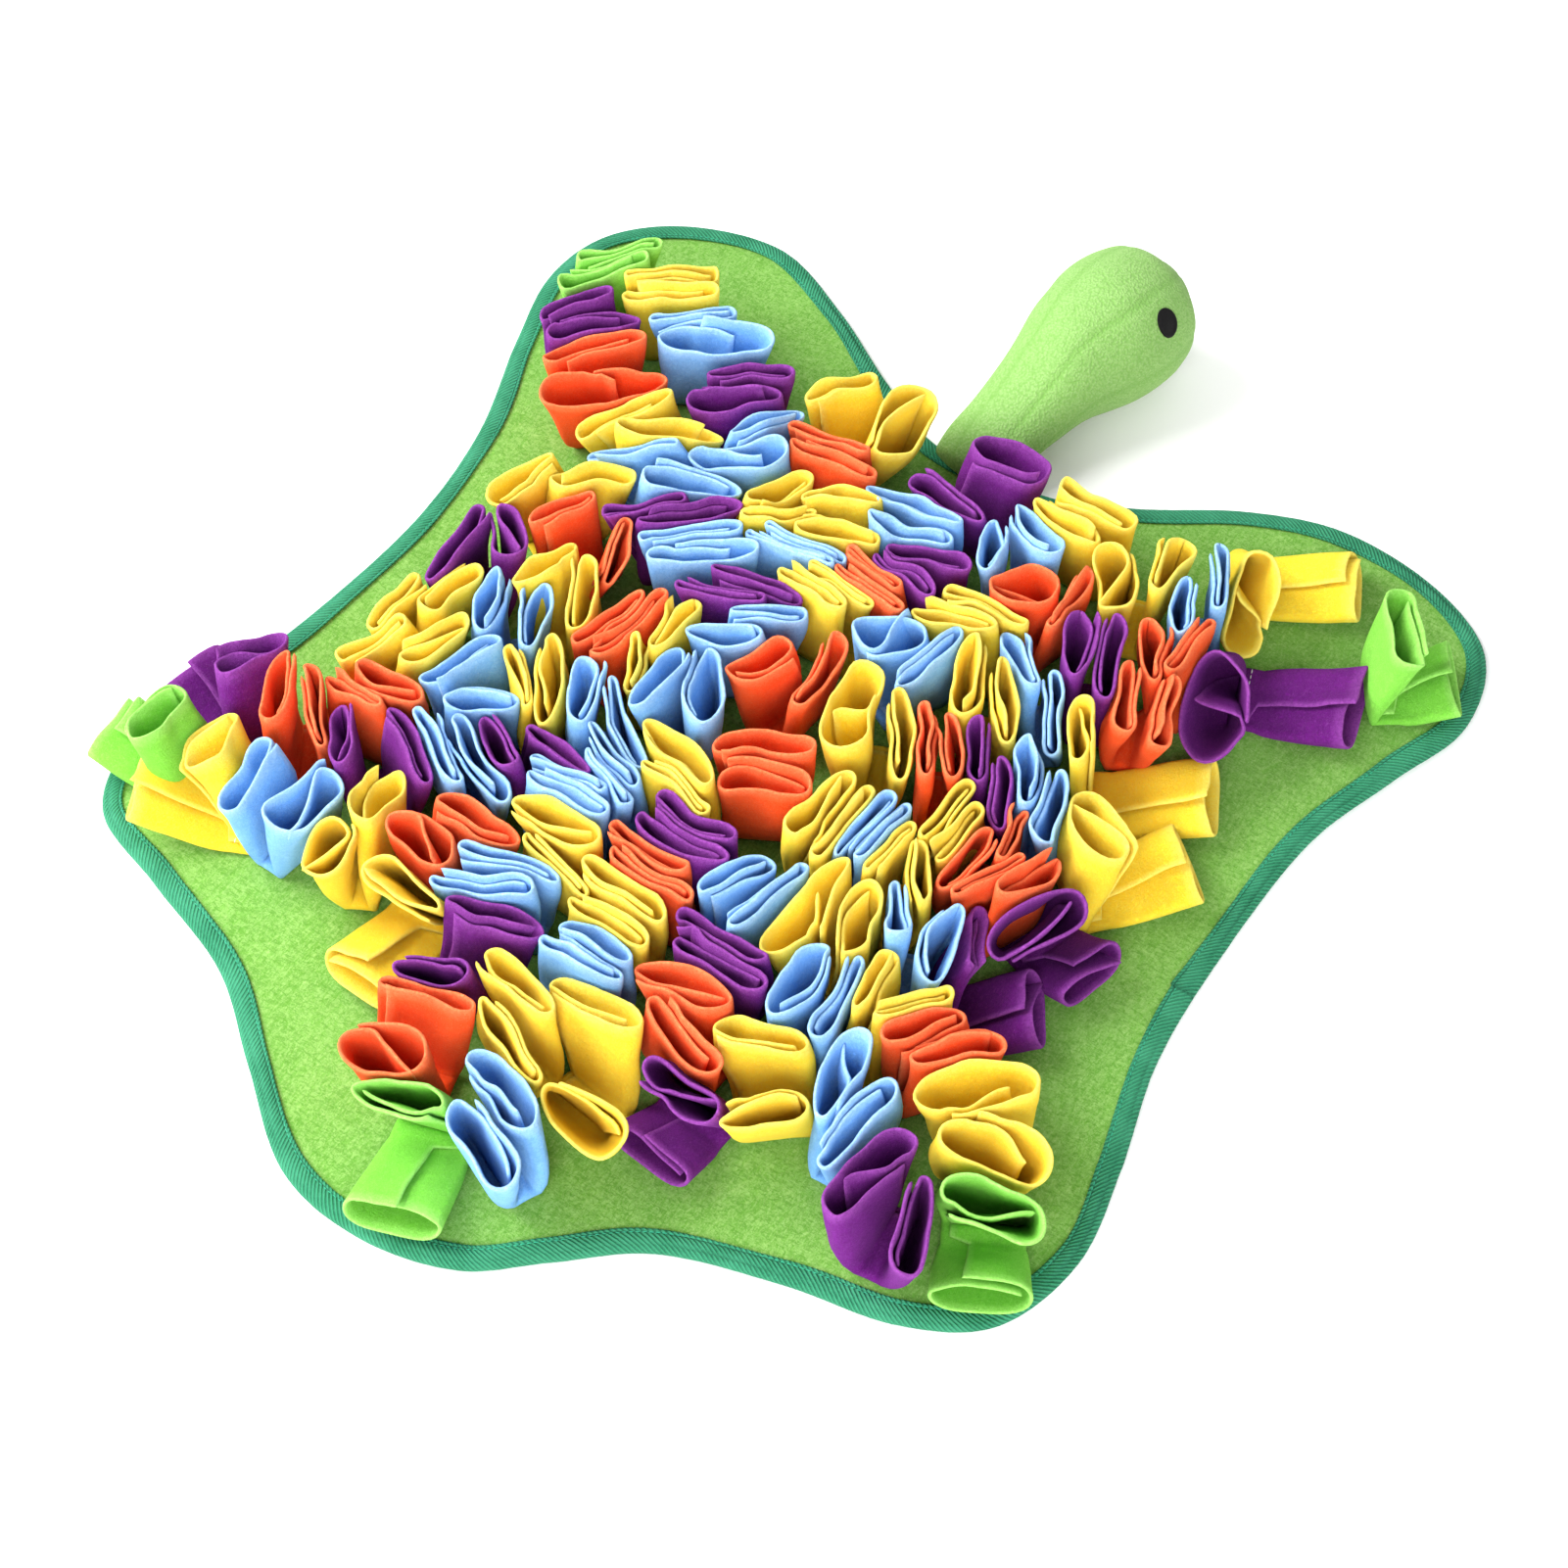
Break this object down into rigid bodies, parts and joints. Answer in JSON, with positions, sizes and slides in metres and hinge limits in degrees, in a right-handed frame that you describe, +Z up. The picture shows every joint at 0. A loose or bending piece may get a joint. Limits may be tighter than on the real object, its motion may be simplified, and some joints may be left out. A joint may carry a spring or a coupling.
{
  "type": "snuffle mat",
  "caption": "Flat lobed felt mat with a taped edge and a stuffed head at one end, covered with rolled felt pockets sewn on in pairs of open mouths for hiding dry treats.",
  "frame": {"origin": "on the floor, under the middle of the part's box", "axes": "+Y toward the head, +Z up, X across the mat"},
  "size_m": [0.6388, 0.7676, 0.087],
  "materials": {
    "mat_felt": "soft needled felt",
    "binding_tape": "woven twill tape",
    "head_fleece": "knitted fleece with a nubby face",
    "eye_black": "smooth felt",
    "yellow_felt": "soft felt",
    "orange_felt": "soft felt",
    "blue_felt": "soft felt",
    "purple_felt": "soft felt",
    "green_felt": "soft felt"
  },
  "bodies": {
    "root": {"edge_binding": "binding_tape", "eye_left": "eye_black", "eye_right": "eye_black", "head": "head_fleece", "mat": "mat_felt", "pocket_B2_B3_B8_D3": "yellow_felt", "pocket_B4_B5": "orange_felt", "pocket_B6": "blue_felt", "pocket_B7": "orange_felt", "pocket_C11_C17_D2_D4": "yellow_felt", "pocket_C15": "yellow_felt", "pocket_C16": "blue_felt", "pocket_C20_C21": "orange_felt", "pocket_C22_C23_C25_C26": "blue_felt", "pocket_C24": "yellow_felt", "pocket_C27_C29_C30_C32": "yellow_felt", "pocket_C3": "orange_felt", "pocket_C31": "blue_felt", "pocket_C33_C36_B1": "yellow_felt", "pocket_C34_C35": "purple_felt", "pocket_C37": "purple_felt", "pocket_C38_C39": "yellow_felt", "pocket_C4": "orange_felt", "pocket_C5": "yellow_felt", "pocket_C6_C7_C12_C13_C14": "orange_felt", "pocket_C8": "blue_felt", "pocket_C9_C10": "yellow_felt", "pocket_D1_D5": "blue_felt", "pocket_D6": "yellow_felt", "pocket_D7": "purple_felt", "pocket_D8": "green_felt", "pocket_H11": "blue_felt", "pocket_H1_H3": "blue_felt", "pocket_H2": "purple_felt", "pocket_H4": "yellow_felt", "pocket_H5": "yellow_felt", "pocket_H6_H10_C1": "orange_felt", "pocket_H7_H8_H9": "purple_felt", "pocket_L12": "purple_felt", "pocket_L1_L2_L3_L5": "green_felt", "pocket_L4_L6_L7": "orange_felt", "pocket_L8_L9_L10_L11": "yellow_felt", "pocket_R1_R2_R5_R6_R8": "blue_felt", "pocket_R3_R4": "purple_felt", "pocket_R7_C2": "purple_felt", "pocket_R9_C18_C19": "yellow_felt", "pocket_T1": "green_felt", "pocket_T11": "orange_felt", "pocket_T12": "yellow_felt", "pocket_T13_T15_T16_C28": "yellow_felt", "pocket_T14": "purple_felt", "pocket_T17_T18_T19_T20": "yellow_felt", "pocket_T2": "purple_felt", "pocket_T21": "purple_felt", "pocket_T3": "yellow_felt", "pocket_T4": "blue_felt", "pocket_T5": "purple_felt", "pocket_T6": "orange_felt", "pocket_T7_T8_T9_T10": "yellow_felt"}
  },
  "joints": []
}
